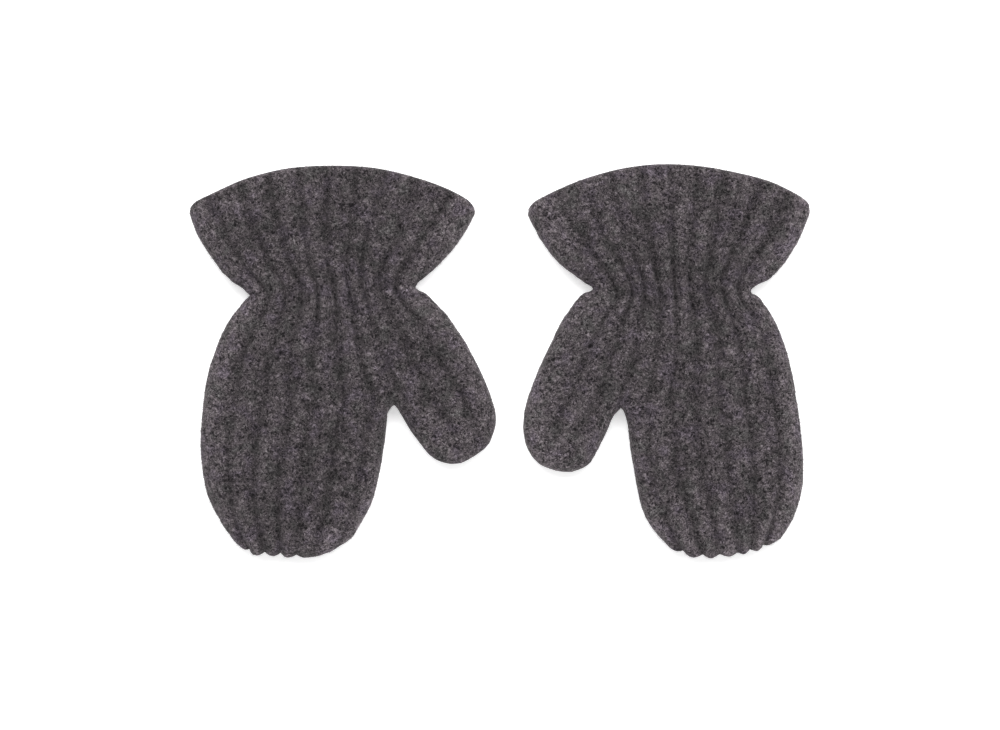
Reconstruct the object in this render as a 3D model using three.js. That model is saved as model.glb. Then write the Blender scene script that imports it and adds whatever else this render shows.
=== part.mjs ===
// A pair of baby mittens in thick felted rib wool, lying flat side by side, palms up.
// Each mitten is a palm panel and a back panel sewn together round the edge. It is hollow
// from the flared cuff's mouth, through the gathered wrist, into the fingers and the thumb.
// Millimetres, +Z up, the mittens lie on z = 0, +Y runs from the fingertips to the cuff.
import * as THREE from 'three';

// ---- driving dimensions ----
const MID = 7;             // height of the plane where the palm and back panels meet
const WALL = 2.4;          // thickness of one layer of the felted wool
const EDGE = 1.3;          // half the thickness of the sewn edge at the outline
const ROUND = 9;           // width over which the panels curve from the edge to full height
const WRIST_DROP = 0.7;    // how much lower the palm lies at the gathered wrist
const WRIST_REACH = 16;    // how far that dip reaches along the mitten
const GAP = 0.4;           // clear space between neighbouring pieces
const LINING_GAP = 0.5;    // clear space between the cloth and what is sewn to its inside
const HEM_DEPTH = 9;       // turned-in edge of the cuff
const HEM_THICK = 1.4;
const ELASTIC_WIDTH = 6;
const ELASTIC_THICK = 0.8;
const ELASTIC_STEPS = 6;
const THREAD = 0.8;        // thickness of the hem thread
const THREAD_STEPS = 22;   // turns of the zigzag hem stitch
const THREAD_SIDES = 4;
const SEAM_INSET = 3.9;    // inner seam ridge, measured in from the outline
const SEAM_HALF_WIDTH = 0.9;
const SEAM_HALF_HEIGHT = 0.7;
const SEAM_SIDES = 6;
const SEAM_STEP = 6;       // distance between a ridge's points
const SEAM_CLEAR = 0.7;    // a ridge ends this far from the next body
const COLUMNS = 10;        // grid steps across a panel

// Lengths of cloth along the mitten, down their sides. The cuff is longer down its middle.
const RUN = { cuff: 36, hand: 46, finger: 43, thumb: 33 };
const CUFF_MIDDLE = 42;

// ---- shares of the way across a patch, or down it ----
const HAND_SIDE_CLEAR = 0.006;      // the hand keeps clear of the thumb
const HEM_ACROSS = [0.09, 0.91];
const HEM_DOWN = [0.01, HEM_DEPTH / CUFF_MIDDLE];
const THREAD_ACROSS = [0.12, 0.88];
const THREAD_DOWN = [0.035, 0.07];  // past the hem's edge
const ELASTIC_ACROSS = [0.17, 0.8];
const ELASTIC_DOWN = [0.03, 0.03 + ELASTIC_WIDTH / RUN.hand];

// ---- finishes ----
const WOOL = { color: 0x4d494b, roughness: 0.95, metalness: 0 };
const YARN = { color: 0x3a3739, roughness: 0.9, metalness: 0 };
const ELASTIC = { color: 0x2b2a2c, roughness: 0.7, metalness: 0 };

// ---- outlines, hand-drawn points of each edge, cuff to fingertips ----
// The two mittens lie a little differently, so each has its own edges, to half a millimetre.
const LEFT = {
  mouth: [[-112, 54], [-109, 57], [-101, 61], [-90.5, 65.5], [-76, 69], [-59.5, 70], [-44, 69],
    [-29.5, 65.5], [-18.5, 61.5], [-11.5, 57.5], [-8.5, 54]],
  outerCuff: [[-112, 54], [-108, 44], [-102.5, 35.5], [-97.5, 29], [-92.5, 25.5], [-90, 23.5]],
  thumbCuff: [[-8.5, 54], [-14, 44], [-21, 35.5], [-27, 30], [-30.5, 26.5]],
  outerHand: [[-90, 23.5], [-93.5, 19.5], [-98.5, 12.5], [-102.5, 3], [-105.5, -7], [-107.5, -23]],
  thumbHand: [[-30.5, 26.5], [-26, 24], [-19, 16.5]],
  crotchHand: [[-38, -16], [-39.5, -17], [-40.5, -19], [-41, -23]],
  outerFinger: [[-107.5, -23], [-107.5, -34], [-105.5, -47], [-100.5, -57.5], [-95.5, -65]],
  innerFinger: [[-41, -23], [-42.5, -35], [-45.5, -49], [-49.5, -57.5], [-53.5, -64]],
  fingertip: [[-95.5, -65], [-89.5, -69.5], [-81, -70.5], [-70, -71], [-61.5, -69], [-53.5, -64]],
  innerThumb: [[-38, -16], [-37, -17], [-35.5, -19.5], [-30.5, -27.5], [-25, -34], [-20.5, -36.5]],
  outerThumb: [[-19, 16.5], [-13, 7.5], [-7.5, -3], [-3, -14], [-1.5, -21.5], [-4, -29.5], [-9, -34],
    [-14, -36.5]],
  thumbTip: [[-20.5, -36.5], [-17.5, -37], [-14, -36.5]],
};
const RIGHT = {
  mouth: [[112, 54.5], [109.5, 57.5], [103, 61.5], [93, 65.5], [74, 69.5], [58, 70.5], [44, 69],
    [31, 65.5], [21, 61.5], [12.5, 57], [9.5, 53.5]],
  outerCuff: [[112, 54.5], [107.5, 44], [102.5, 35.5], [97, 29.5], [92.5, 27], [90.5, 25]],
  thumbCuff: [[9.5, 53.5], [14.5, 44], [20.5, 35.5], [27, 30], [33, 26]],
  outerHand: [[90.5, 25], [95, 21], [99, 14], [103, 3.5], [105.5, -7], [108, -23]],
  thumbHand: [[33, 26], [28.5, 23], [23, 16]],
  crotchHand: [[43.5, -17], [44.5, -18], [45.5, -20.5], [46, -23]],
  outerFinger: [[108, -23], [109, -34], [108.5, -46], [105.5, -56.5], [101, -64]],
  innerFinger: [[46, -23], [47.5, -35], [50, -49], [53, -57.5], [58, -64]],
  fingertip: [[101, -64], [92.5, -68.5], [82, -70.5], [71.5, -71], [63.5, -69], [58, -64]],
  innerThumb: [[43.5, -17], [42.5, -18], [41, -19.5], [40, -21.5], [37, -28.5], [32, -37], [26, -40]],
  outerThumb: [[23, 16], [18.5, 6.5], [14, -3], [10, -14], [8.5, -23.5], [10, -31.5], [14, -37],
    [20, -39.5]],
  thumbTip: [[26, -40], [23, -40], [20, -39.5]],
};

// ---- curves and patches ----
const spline = (points) => new THREE.SplineCurve(points.map(([x, y]) => new THREE.Vector2(x, y)));

function along(curve) {
  return (t) => curve.getPointAt(THREE.MathUtils.clamp(t, 0, 1));
}

// Joins edges end to end. Each entry is [edge, share of the parameter].
function chain(parts) {
  return (t) => {
    let start = 0;
    for (const [edge, share] of parts) {
      if (t <= start + share + 1e-9) return edge((t - start) / share);
      start += share;
    }
    return parts.at(-1)[0](1);
  };
}

const straight = (a, b) => (t) => a.clone().lerp(b, t);

// A Coons patch: the surface that four edges span. s runs from the first side to the
// second, v runs from the near edge to the far edge.
function coons(near, far, first, second) {
  const [a, b, c, d] = [near(0), near(1), far(0), far(1)];
  return (s, v) => {
    const across = near(s).multiplyScalar(1 - v).addScaledVector(far(s), v);
    const down = first(v).multiplyScalar(1 - s).addScaledVector(second(v), s);
    across.add(down);
    across.addScaledVector(a, -(1 - s) * (1 - v)).addScaledVector(b, -s * (1 - v));
    return across.addScaledVector(c, -(1 - s) * v).addScaledVector(d, -s * v);
  };
}

// ---- the pillow shape ----
// Straight pieces of the sewn outline. The cuff's mouth is open, so it isn't part of it.
function sewnOutline(mitten) {
  const names = ['outerCuff', 'thumbCuff', 'outerHand', 'thumbHand', 'crotchHand', 'outerFinger',
    'innerFinger', 'fingertip', 'innerThumb', 'outerThumb', 'thumbTip'];
  const lines = [];
  for (const name of names) {
    const points = spline(mitten[name]).getSpacedPoints(16);
    for (let i = 0; i + 1 < points.length; i += 1) lines.push([points[i], points[i + 1]]);
  }
  return lines;
}

function distanceTo(lines, p) {
  let best = Infinity;
  for (const [a, b] of lines) {
    const edge = b.clone().sub(a);
    const t = THREE.MathUtils.clamp(p.clone().sub(a).dot(edge) / edge.lengthSq(), 0, 1);
    best = Math.min(best, a.clone().addScaledVector(edge, t).distanceTo(p));
  }
  return best;
}

// A quarter ellipse: 0 at the edge, 1 once the edge's curve is over.
const swell = (t) => Math.sqrt(1 - (1 - THREE.MathUtils.clamp(t, 0, 1)) ** 2);

// Half heights above and below MID, of the outer face and of the hollow inside it.
function pillow(mitten) {
  const lines = sewnOutline(mitten);
  const wristY = (mitten.outerHand[0][1] + mitten.thumbHand[0][1]) / 2;
  const full = (p, isPalm) => {
    const dip = Math.exp(-(((p.y - wristY) / WRIST_REACH) ** 2));
    return isPalm ? MID - WRIST_DROP * dip : MID;
  };
  const outer = (p, isPalm) =>
    EDGE + (full(p, isPalm) - EDGE) * swell(distanceTo(lines, p) / ROUND);
  const inner = (p, isPalm) =>
    GAP / 2 + (full(p, isPalm) - WALL - GAP / 2) * swell((distanceTo(lines, p) - WALL) / (ROUND - WALL));
  return { outer, inner };
}

// ---- solids ----
const even = (count) => Array.from({ length: count + 1 }, (_, i) => i / count);
const crowded = (count) => even(count).map((t) => (1 - Math.cos(Math.PI * t)) / 2);
const crowdedAtEnd = (count) => even(count).map((t) => Math.sin((Math.PI / 2) * t));
const between = (list, low, high) => list.map((t) => low + (high - low) * t);

function meshFrom(name, positions, indices, finish) {
  const geometry = new THREE.BufferGeometry();
  geometry.setAttribute('position', new THREE.Float32BufferAttribute(positions, 3));
  geometry.setIndex(indices);
  geometry.computeVertexNormals();
  const mesh = new THREE.Mesh(geometry, new THREE.MeshStandardMaterial(finish));
  mesh.name = name;
  return mesh;
}

function signedVolume(positions, indices) {
  const corner = (i) => new THREE.Vector3().fromArray(positions, 3 * i);
  let volume = 0;
  for (let i = 0; i < indices.length; i += 3) {
    const [a, b, c] = [corner(indices[i]), corner(indices[i + 1]), corner(indices[i + 2])];
    volume += a.dot(b.cross(c)) / 6;
  }
  return volume;
}

// Turns every triangle round if the faces point inwards.
function facingOut(positions, indices) {
  if (signedVolume(positions, indices) > 0) return indices;
  const turned = [];
  for (let i = 0; i < indices.length; i += 3) turned.push(indices[i], indices[i + 2], indices[i + 1]);
  return turned;
}

// The closed solid between two heights over a patch. Heights are functions of the point.
function sheet(name, patch, across, down, high, low, finish) {
  const wide = across.length;
  const positions = [];
  for (const height of [high, low]) {
    for (const v of down) {
      for (const s of across) {
        const p = patch(s, v);
        positions.push(p.x, p.y, height(p));
      }
    }
  }
  const layer = wide * down.length;
  const at = (row, column, side) => side * layer + row * wide + column;
  const indices = [];
  const quad = (a, b, c, d) => indices.push(a, b, c, a, c, d);
  for (let r = 0; r + 1 < down.length; r += 1) {
    for (let c = 0; c + 1 < wide; c += 1) {
      quad(at(r, c, 0), at(r + 1, c, 0), at(r + 1, c + 1, 0), at(r, c + 1, 0));
      quad(at(r, c, 1), at(r, c + 1, 1), at(r + 1, c + 1, 1), at(r + 1, c, 1));
    }
  }
  const last = down.length - 1;
  for (let c = 0; c + 1 < wide; c += 1) {
    quad(at(0, c, 0), at(0, c + 1, 0), at(0, c + 1, 1), at(0, c, 1));
    quad(at(last, c + 1, 0), at(last, c, 0), at(last, c, 1), at(last, c + 1, 1));
  }
  for (let r = 0; r < last; r += 1) {
    quad(at(r + 1, 0, 0), at(r, 0, 0), at(r, 0, 1), at(r + 1, 0, 1));
    quad(at(r, wide - 1, 0), at(r + 1, wide - 1, 0), at(r + 1, wide - 1, 1), at(r, wide - 1, 1));
  }
  return meshFrom(name, positions, facingOut(positions, indices), finish);
}

// A bar along a path, with an n-sided section and flat ends.
function bar(name, path, halfWidth, halfHeight, sides, finish) {
  const positions = [];
  path.forEach((p, i) => {
    const next = path[Math.min(i + 1, path.length - 1)];
    const before = path[Math.max(i - 1, 0)];
    const run = new THREE.Vector2(next.x - before.x, next.y - before.y).normalize();
    for (let k = 0; k < sides; k += 1) {
      const turn = (2 * Math.PI * (k + 0.5)) / sides;
      const out = halfWidth * Math.cos(turn);
      positions.push(p.x - run.y * out, p.y + run.x * out, p.z + halfHeight * Math.sin(turn));
    }
  });
  const indices = [];
  for (let i = 0; i + 1 < path.length; i += 1) {
    for (let k = 0; k < sides; k += 1) {
      const [a, b] = [i * sides + k, i * sides + ((k + 1) % sides)];
      indices.push(a, b, b + sides, a, b + sides, a + sides);
    }
  }
  const end = (path.length - 1) * sides;
  for (let k = 1; k + 1 < sides; k += 1) indices.push(0, k + 1, k, end, end + k, end + k + 1);
  return meshFrom(name, positions, facingOut(positions, indices), finish);
}

// ---- sub-parts ----
function patches(mitten) {
  const edge = Object.fromEntries(Object.entries(mitten).map(([name, points]) => [name, along(spline(points))]));
  const wrist = straight(edge.outerHand(0), edge.thumbHand(0));
  const knuckles = straight(edge.outerHand(1), edge.crotchHand(1));
  const thumbFold = straight(edge.thumbHand(1), edge.crotchHand(0));
  const thumbFoldBack = straight(edge.crotchHand(0), edge.thumbHand(1));
  // the hand's thumb side: wrist notch, thumb fold, crotch, with the corners on grid rows
  const thumbSide = chain([[edge.thumbHand, 0.25], [thumbFold, 0.5], [edge.crotchHand, 0.25]]);
  return {
    cuff: coons(edge.mouth, wrist, edge.outerCuff, edge.thumbCuff),
    hand: coons(wrist, knuckles, edge.outerHand, thumbSide),
    finger: coons(knuckles, edge.fingertip, edge.outerFinger, edge.innerFinger),
    thumb: coons(thumbFoldBack, edge.thumbTip, edge.innerThumb, edge.outerThumb),
  };
}

// The share of each length that keeps half a gap to the next body.
const CLEAR = Object.fromEntries(Object.entries(RUN).map(([body, run]) => [body, GAP / 2 / run]));

const PANEL_GRIDS = {
  cuff: [crowded(COLUMNS), between(even(5), 0, 1 - CLEAR.cuff)],
  hand: [between(crowded(COLUMNS), 0, 1 - HAND_SIDE_CLEAR), between(even(12), CLEAR.hand, 1 - CLEAR.hand)],
  finger: [crowded(COLUMNS), between(crowdedAtEnd(8), CLEAR.finger, 1)],
  thumb: [crowded(COLUMNS), between(crowdedAtEnd(8), CLEAR.thumb, 1)],
};

function panels(side, patch, shape) {
  const made = [];
  for (const [body, [across, down]] of Object.entries(PANEL_GRIDS)) {
    made.push(sheet(`${side}_${body}_palm`, patch[body], across, down,
      (p) => MID + shape.outer(p, true), (p) => MID + shape.inner(p, true), WOOL));
    made.push(sheet(`${side}_${body}_back`, patch[body], across, down,
      (p) => MID - shape.inner(p, false), (p) => MID - shape.outer(p, false), WOOL));
  }
  return made;
}

// A strip that lies against the hollow's face: turned hem or wrist elastic.
function lining(name, patch, across, down, thick, shape, isPalm, finish) {
  const side = isPalm ? 1 : -1;
  const near = (p) => MID + side * (shape.inner(p, isPalm) - LINING_GAP);
  const far = (p) => MID + side * (shape.inner(p, isPalm) - LINING_GAP - thick);
  return sheet(name, patch, across, down, isPalm ? near : far, isPalm ? far : near, finish);
}

function hems(side, patch, shape) {
  return [true, false].map((isPalm) => lining(`${side}_cuff_hem_${isPalm ? 'palm' : 'back'}`,
    patch.cuff, between(even(COLUMNS), ...HEM_ACROSS), HEM_DOWN, HEM_THICK, shape, isPalm, WOOL));
}

function elastics(side, patch, shape) {
  return [true, false].map((isPalm) => lining(`${side}_wrist_elastic_${isPalm ? 'palm' : 'back'}`,
    patch.hand, between(even(ELASTIC_STEPS), ...ELASTIC_ACROSS), ELASTIC_DOWN,
    ELASTIC_THICK, shape, isPalm, ELASTIC));
}

// Catch stitches that hold the hem: a zigzag thread along its inner edge.
function hemThreads(side, patch, shape) {
  const rows = THREAD_DOWN.map((share) => HEM_DOWN[1] + share);
  return [true, false].map((isPalm) => {
    const path = between(even(THREAD_STEPS), ...THREAD_ACROSS).map((s, i) => {
      const p = patch.cuff(s, rows[i % 2]);
      const reach = shape.inner(p, isPalm) - LINING_GAP - THREAD / 2;
      return new THREE.Vector3(p.x, p.y, MID + (isPalm ? reach : -reach));
    });
    return bar(`${side}_hem_thread_${isPalm ? 'palm' : 'back'}`, path, THREAD / 2, THREAD / 2,
      THREAD_SIDES, YARN);
  });
}

// The sewn ridge inside the hollow, where the two panels join.
function seams(side, mitten) {
  const outward = side === 'left' ? 1 : -1;
  const trimmed = (edges, startClear, endClear) => {
    const points = edges.flatMap((edge, i) => spline(mitten[edge]).getSpacedPoints(10).slice(i ? 1 : 0));
    const route = spline(points.map((p) => [p.x, p.y]));
    const length = route.getLength();
    const steps = Math.max(3, Math.round(length / SEAM_STEP));
    return between(even(steps), startClear / length, 1 - endClear / length)
      .map((t) => [route.getPointAt(t), route.getTangentAt(t)]);
  };
  const ridge = (name, edges, turn, startClear, endClear) => {
    const path = trimmed(edges, startClear, endClear).map(([p, run]) => new THREE.Vector3(
      p.x - run.y * turn * outward * SEAM_INSET, p.y + run.x * turn * outward * SEAM_INSET, MID));
    return bar(`${side}_${name}`, path, SEAM_HALF_WIDTH, SEAM_HALF_HEIGHT, SEAM_SIDES, YARN);
  };
  // the last two numbers keep each ridge clear of the next body or of the ridge round the corner
  return [
    ridge('cuff_outer_seam', ['outerCuff'], 1, SEAM_CLEAR, 3),
    ridge('cuff_thumb_side_seam', ['thumbCuff'], -1, SEAM_CLEAR, 3),
    ridge('hand_outer_seam', ['outerHand'], 1, 3, SEAM_CLEAR),
    ridge('hand_thumb_side_seam', ['thumbHand'], -1, 3, 3),
    ridge('finger_seam', ['outerFinger', 'fingertip'], 1, SEAM_CLEAR, SEAM_CLEAR),
    ridge('finger_inner_seam', ['innerFinger'], -1, SEAM_CLEAR, 5),
    ridge('thumb_outer_seam', ['outerThumb'], -1, 3, 2),
    ridge('thumb_inner_seam', ['innerThumb'], 1, 4, 6),
  ];
}

function mittenPair() {
  const pair = new THREE.Group();
  for (const [side, mitten] of [['left', LEFT], ['right', RIGHT]]) {
    const patch = patches(mitten);
    const shape = pillow(mitten);
    const made = [
      ...panels(side, patch, shape),
      ...hems(side, patch, shape),
      ...hemThreads(side, patch, shape),
      ...elastics(side, patch, shape),
      ...seams(side, mitten),
    ];
    pair.add(...made);
  }
  return pair;
}

export default mittenPair();
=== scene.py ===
"""A pair of baby mittens in thick felted rib wool, lying palms up, side by side.

Each mitten is a palm cloth and a back cloth, sewn together round the edge. Each cloth is made in
three lengths that meet where nothing bends: cuff, hand with thumb, and fingers. Everything is
worked out in millimetres and put into the meshes in metres.
"""
import math

import bmesh
import bpy
import numpy as np
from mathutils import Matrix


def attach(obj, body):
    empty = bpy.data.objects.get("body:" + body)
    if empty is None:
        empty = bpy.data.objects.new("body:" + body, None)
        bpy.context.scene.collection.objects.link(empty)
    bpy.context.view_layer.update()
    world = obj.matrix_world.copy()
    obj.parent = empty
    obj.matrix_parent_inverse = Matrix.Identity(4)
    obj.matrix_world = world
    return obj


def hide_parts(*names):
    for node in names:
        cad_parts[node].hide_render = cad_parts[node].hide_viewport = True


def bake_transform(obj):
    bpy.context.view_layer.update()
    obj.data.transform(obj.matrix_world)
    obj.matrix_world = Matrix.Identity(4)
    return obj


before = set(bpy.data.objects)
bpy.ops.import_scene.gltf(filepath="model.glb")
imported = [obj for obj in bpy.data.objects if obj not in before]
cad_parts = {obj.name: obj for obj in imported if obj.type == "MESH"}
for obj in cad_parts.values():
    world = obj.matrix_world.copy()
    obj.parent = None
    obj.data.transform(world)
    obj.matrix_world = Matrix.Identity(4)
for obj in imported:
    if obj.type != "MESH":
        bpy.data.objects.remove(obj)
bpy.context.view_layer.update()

MM = 0.001
SPACING = 0.48     # mm between grid points of the cloth
WELD = 0.002           # grid points this close together are one point

# ---- the cloth ----
MID = 7.0              # height of the plane where palm and back meet
CLOTH = 2.4            # thickness of one layer
LIP = 1.5              # radius of the rolled lip at the sewn edge
LIP_STEPS = 5
SEAM_HALF_GAP = 0.12   # the two lips touch here, but for this gap
ROUND = 9.0            # width of the pillow's rounded border
CROWN_WIDTH = 30.0     # beyond the border the palm goes on rising gently as far as this
CROWN = 0.9            # by this much
WRIST_DIP = 1.5        # the gathered wrist lies lower
WRIST_REACH = 9.0
HEM_DEPTH = 9.0
HEM_THICK = 4.2        # two layers at the turned hem
HEM_STEP = 0.7         # length over which the hem's raw edge drops away

# ---- the ribs ----
HAND_RIBS = 7.1        # rib units across the hand, the edge rib is a quarter wider
THUMB_RIBS = 3.4
GROOVE_LEVELS = (60, 45, 33, 24, 15, 0, -20, -40, -60)    # heights y at which grooves are placed
CROTCH_GROOVE = 6      # this groove ends at the crotch
HAND_DEPTH = 0.85      # groove depth on the flat of the hand
WRIST_DEPTH = 1.5      # and where the wrist gathers it
MOUTH_DEPTH = 0.75     # and near the cuff's mouth
TIP_DEPTH = 0.6        # the fingertips are gathered too, from this far below the wrist
TIP_START = 74.0
TIP_REACH = 20.0
HAND_GROOVE = 1.6      # half width of a groove
WRIST_GROOVE = 0.85
WIDE_GROOVE = 0.33     # half width in rib units of the shallow dip round a groove
HAND_GATHER = 13.0     # the wrist's gathers reach this far into the hand
CUFF_GATHER = 17.0     # and this far into the cuff
CREASE_WIDE = 0.2
PLAIN_TIP = 0.85       # how much of the lobes is missing where a tip is plain
BACK_LOW = 0.35        # the back stays this far above the table, for its relief
CREASE_DEPTH = 0.55    # short creases between the ribs at the wrist
CREASE_REACH = 11.0
CREASE_LENGTH = 9.0
CREASE_RATE = 1.6
RIB_SMOOTHING = 5.0    # the ribs' kink at the wrist is smoothed over this length
RIB_SMOOTHING_REACH = 16.0
TABLE_STEP = 0.5
# painted shade: the colour is this much darker at the bottom of a groove or crease
PAINTED_GROOVE_SHADE = 0.6
PAINTED_RIM_LIGHT = 0.23    # painted rim light: how much lighter the wool is painted on the rounded border
PAINTED_MIDDLE_SHADE = 0.10    # painted shade: how much darker the wool is painted in the middle
TIP_LIGHT = 0.21       # how much lighter at the fingertips
PAINTED_MOUTH_LIGHT = 0.06     # painted rim light along the cuff's mouth too
# painted shade: the wool is painted this much darker round the crotch between hand and thumb
PAINTED_CROTCH_SHADE = 0.09
CROTCH_REACH = 22.0

# ---- outlines: the same points as the CAD's, to half a millimetre. "grooves" has a row for each
# groove with its rib unit at each of the GROOVE_LEVELS, so that ribs wander as on a real mitten ----
LEFT = {
    "mouth": [(-112, 54), (-109, 57), (-101, 61), (-90.5, 65.5), (-76, 69), (-59.5, 70),
              (-44, 69), (-29.5, 65.5), (-18.5, 61.5), (-11.5, 57.5), (-8.5, 54)],
    "outer_cuff": [(-112, 54), (-108, 44), (-102.5, 35.5), (-97.5, 29), (-92.5, 25.5), (-90, 23.5)],
    "thumb_cuff": [(-8.5, 54), (-14, 44), (-21, 35.5), (-27, 30), (-30.5, 26.5)],
    "outer_hand": [(-90, 23.5), (-93.5, 19.5), (-98.5, 12.5), (-102.5, 3), (-105.5, -7), (-107.5, -23)],
    "thumb_hand": [(-30.5, 26.5), (-26, 24), (-19, 16.5)],
    "crotch_hand": [(-38, -16), (-39.5, -17), (-40.5, -19), (-41, -23)],
    "outer_finger": [(-107.5, -23), (-107.5, -34), (-105.5, -47), (-100.5, -57.5), (-95.5, -65)],
    "inner_finger": [(-41, -23), (-42.5, -35), (-45.5, -49), (-49.5, -57.5), (-53.5, -64)],
    "fingertip": [(-95.5, -65), (-89.5, -69.5), (-81, -70.5), (-70, -71), (-61.5, -69), (-53.5, -64)],
    "inner_thumb": [(-38, -16), (-37, -17), (-35.5, -19.5), (-30.5, -27.5), (-25, -34), (-20.5, -36.5)],
    "outer_thumb": [(-19, 16.5), (-13, 7.5), (-7.5, -3), (-3, -14), (-1.5, -21.5),
                    (-4, -29.5), (-9, -34), (-14, -36.5)],
    "thumb_tip": [(-20.5, -36.5), (-17.5, -37), (-14, -36.5)],
    "grooves": [[0.85, 0.97, 1.1, 1.55, 1.55, 1.3, 1.2, 1.15, 1.15],
                [2.0, 2.2, 2.3, 2.55, 2.57, 2.45, 2.25, 2.2, 2.25],
                [3.07, 3.17, 3.25, 3.5, 3.55, 3.3, 3.25, 3.2, 3.17],
                [4.15, 4.17, 4.2, 4.45, 4.5, 4.3, 4.15, 4.1, 4.07],
                [5.07, 5.07, 5.17, 5.4, 5.47, 5.4, 5.3, 5.2, 5.0],
                [6.07, 6.07, 6.07, 6.25, 6.4, 6.43, 6.46, 6.35, 6.3],
                [7.07, 6.85, 6.9, 7.1, 7.3, 7.36, 7.4, 7.4, 7.4],
                [8.17, 8.03, 7.9, 8.0, 8.25, 8.36, 8.57, 9.1, 9.3],
                [9.36, 9.14, 8.97, 8.9, 9.17, 9.36, 9.6, 10.0, 10.1]],
    "hand_end": -19.4,
    "tip_warp": 0.05,
    "plain_tip": 4.3,
    "lightness": 0.94,
}
RIGHT = {
    "mouth": [(112, 54.5), (109.5, 57.5), (103, 61.5), (93, 65.5), (74, 69.5), (58, 70.5),
              (44, 69), (31, 65.5), (21, 61.5), (12.5, 57), (9.5, 53.5)],
    "outer_cuff": [(112, 54.5), (107.5, 44), (102.5, 35.5), (97, 29.5), (92.5, 27), (90.5, 25)],
    "thumb_cuff": [(9.5, 53.5), (14.5, 44), (20.5, 35.5), (27, 30), (33, 26)],
    "outer_hand": [(90.5, 25), (95, 21), (99, 14), (103, 3.5), (105.5, -7), (108, -23)],
    "thumb_hand": [(33, 26), (28.5, 23), (23, 16)],
    "crotch_hand": [(43.5, -17), (44.5, -18), (45.5, -20.5), (46, -23)],
    "outer_finger": [(108, -23), (109, -34), (108.5, -46), (105.5, -56.5), (101, -64)],
    "inner_finger": [(46, -23), (47.5, -35), (50, -49), (53, -57.5), (58, -64)],
    "fingertip": [(101, -64), (92.5, -68.5), (82, -70.5), (71.5, -71), (63.5, -69), (58, -64)],
    "inner_thumb": [(43.5, -17), (42.5, -18), (41, -19.5), (40, -21.5), (37, -28.5), (32, -37), (26, -40)],
    "outer_thumb": [(23, 16), (18.5, 6.5), (14, -3), (10, -14), (8.5, -23.5), (10, -31.5),
                    (14, -37), (20, -39.5)],
    "thumb_tip": [(26, -40), (23, -40), (20, -39.5)],
    "grooves": [[1.07, 1.24, 1.43, 1.4, 1.0, 0.96, 1.0, 1.14, 1.36],
                [2.07, 2.39, 2.46, 2.33, 2.2, 2.17, 2.14, 2.29, 2.39],
                [3.43, 3.43, 3.39, 3.29, 3.2, 3.19, 3.19, 3.33, 3.19],
                [4.29, 4.33, 4.29, 4.2, 4.17, 4.17, 4.26, 4.33, 4.14],
                [5.2, 5.2, 5.17, 5.1, 5.14, 5.17, 5.2, 5.29, 5.0],
                [6.24, 6.2, 6.1, 6.0, 6.0, 6.07, 6.2, 6.36, 6.0],
                [7.29, 7.14, 7.0, 6.86, 6.96, 7.1, 7.2, 7.2, 7.2],
                [8.29, 8.07, 7.79, 7.6, 7.8, 8.0, 8.03, 8.4, 8.5],
                [9.29, 9.0, 8.76, 8.5, 8.7, 9.04, 9.1, 9.4, 9.5]],
    "hand_end": -19.9,
    "tip_warp": 0.09,
    "plain_tip": HAND_RIBS,
    "lightness": 1.0,
}
SEWN_EDGES = ("outer_cuff", "thumb_cuff", "outer_hand", "thumb_hand", "crotch_hand", "outer_finger",
              "inner_finger", "fingertip", "inner_thumb", "outer_thumb", "thumb_tip")


# ---- curves ----
def spline(points, count=240):
    """Catmull-Rom curve through the points, as evenly spaced points along its length."""
    p = np.array(points, float)
    padded = np.vstack([p[:1], p, p[-1:]])
    t = np.linspace(0, len(p) - 1, count * 4)
    i = np.minimum(t.astype(int), len(p) - 2)
    f = (t - i)[:, None]
    a, b, c, d = (padded[i + k] for k in range(4))
    curve = (2 * b + (c - a) * f + (2 * a - 5 * b + 4 * c - d) * f**2 + (3 * b - a - 3 * c + d) * f**3) / 2
    return resample(curve, np.linspace(0, 1, count))


def lengths(line):
    """Distance along a polyline of each of its points."""
    return np.concatenate([[0], np.cumsum(np.linalg.norm(np.diff(line, axis=0), axis=1))])


def resample(line, shares):
    """Points of a polyline at the given shares of its length."""
    along = lengths(line)
    at = np.asarray(shares) * along[-1]
    return np.stack([np.interp(at, along, column) for column in line.T], 1)


def unit(vectors):
    return vectors / np.linalg.norm(vectors, axis=-1, keepdims=True)


def upward_normal(a, b):
    """Unit vector square to the line through two points, on its +Y side."""
    run = unit(b - a)
    return np.array([-run[1], run[0]]) * np.sign(run[0])


def join(*lines):
    """Polylines end to end, without the doubled points."""
    return np.vstack([lines[0]] + [line[1:] for line in lines[1:]])


def cut(line, start=0.0, end=None):
    """The stretch of a polyline between two distances along it, in millimetres."""
    along = lengths(line)
    end = along[-1] if end is None else end
    inside = line[(along > start + 1e-6) & (along < end - 1e-6)]
    ends = resample(line, np.array([start, end]) / along[-1])
    return np.vstack([ends[:1], inside, ends[1:]])


def distance_where(line, y):
    """How far along a polyline it first comes down to a height y."""
    along = lengths(line)
    i = int(np.argmax(line[:, 1] <= y))
    share = (line[i - 1, 1] - y) / (line[i - 1, 1] - line[i, 1])
    return along[i - 1] + share * (along[i] - along[i - 1])


def ease(t):
    """Smoothstep, 0 below 0 and 1 above 1."""
    t = np.clip(t, 0, 1)
    return t * t * (3 - 2 * t)


def spread(count, crowd_start, crowd_end, crowding=0.6):
    """Shares from 0 to 1, closer together at the crowded end or ends."""
    t = np.linspace(0, 1, count + 1)
    if crowd_start and crowd_end:
        packed = (1 - np.cos(math.pi * t)) / 2
    elif crowd_start:
        packed = 1 - np.cos(math.pi / 2 * t)
    else:
        packed = np.sin(math.pi / 2 * t)
    return (1 - crowding) * t + crowding * packed


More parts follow.
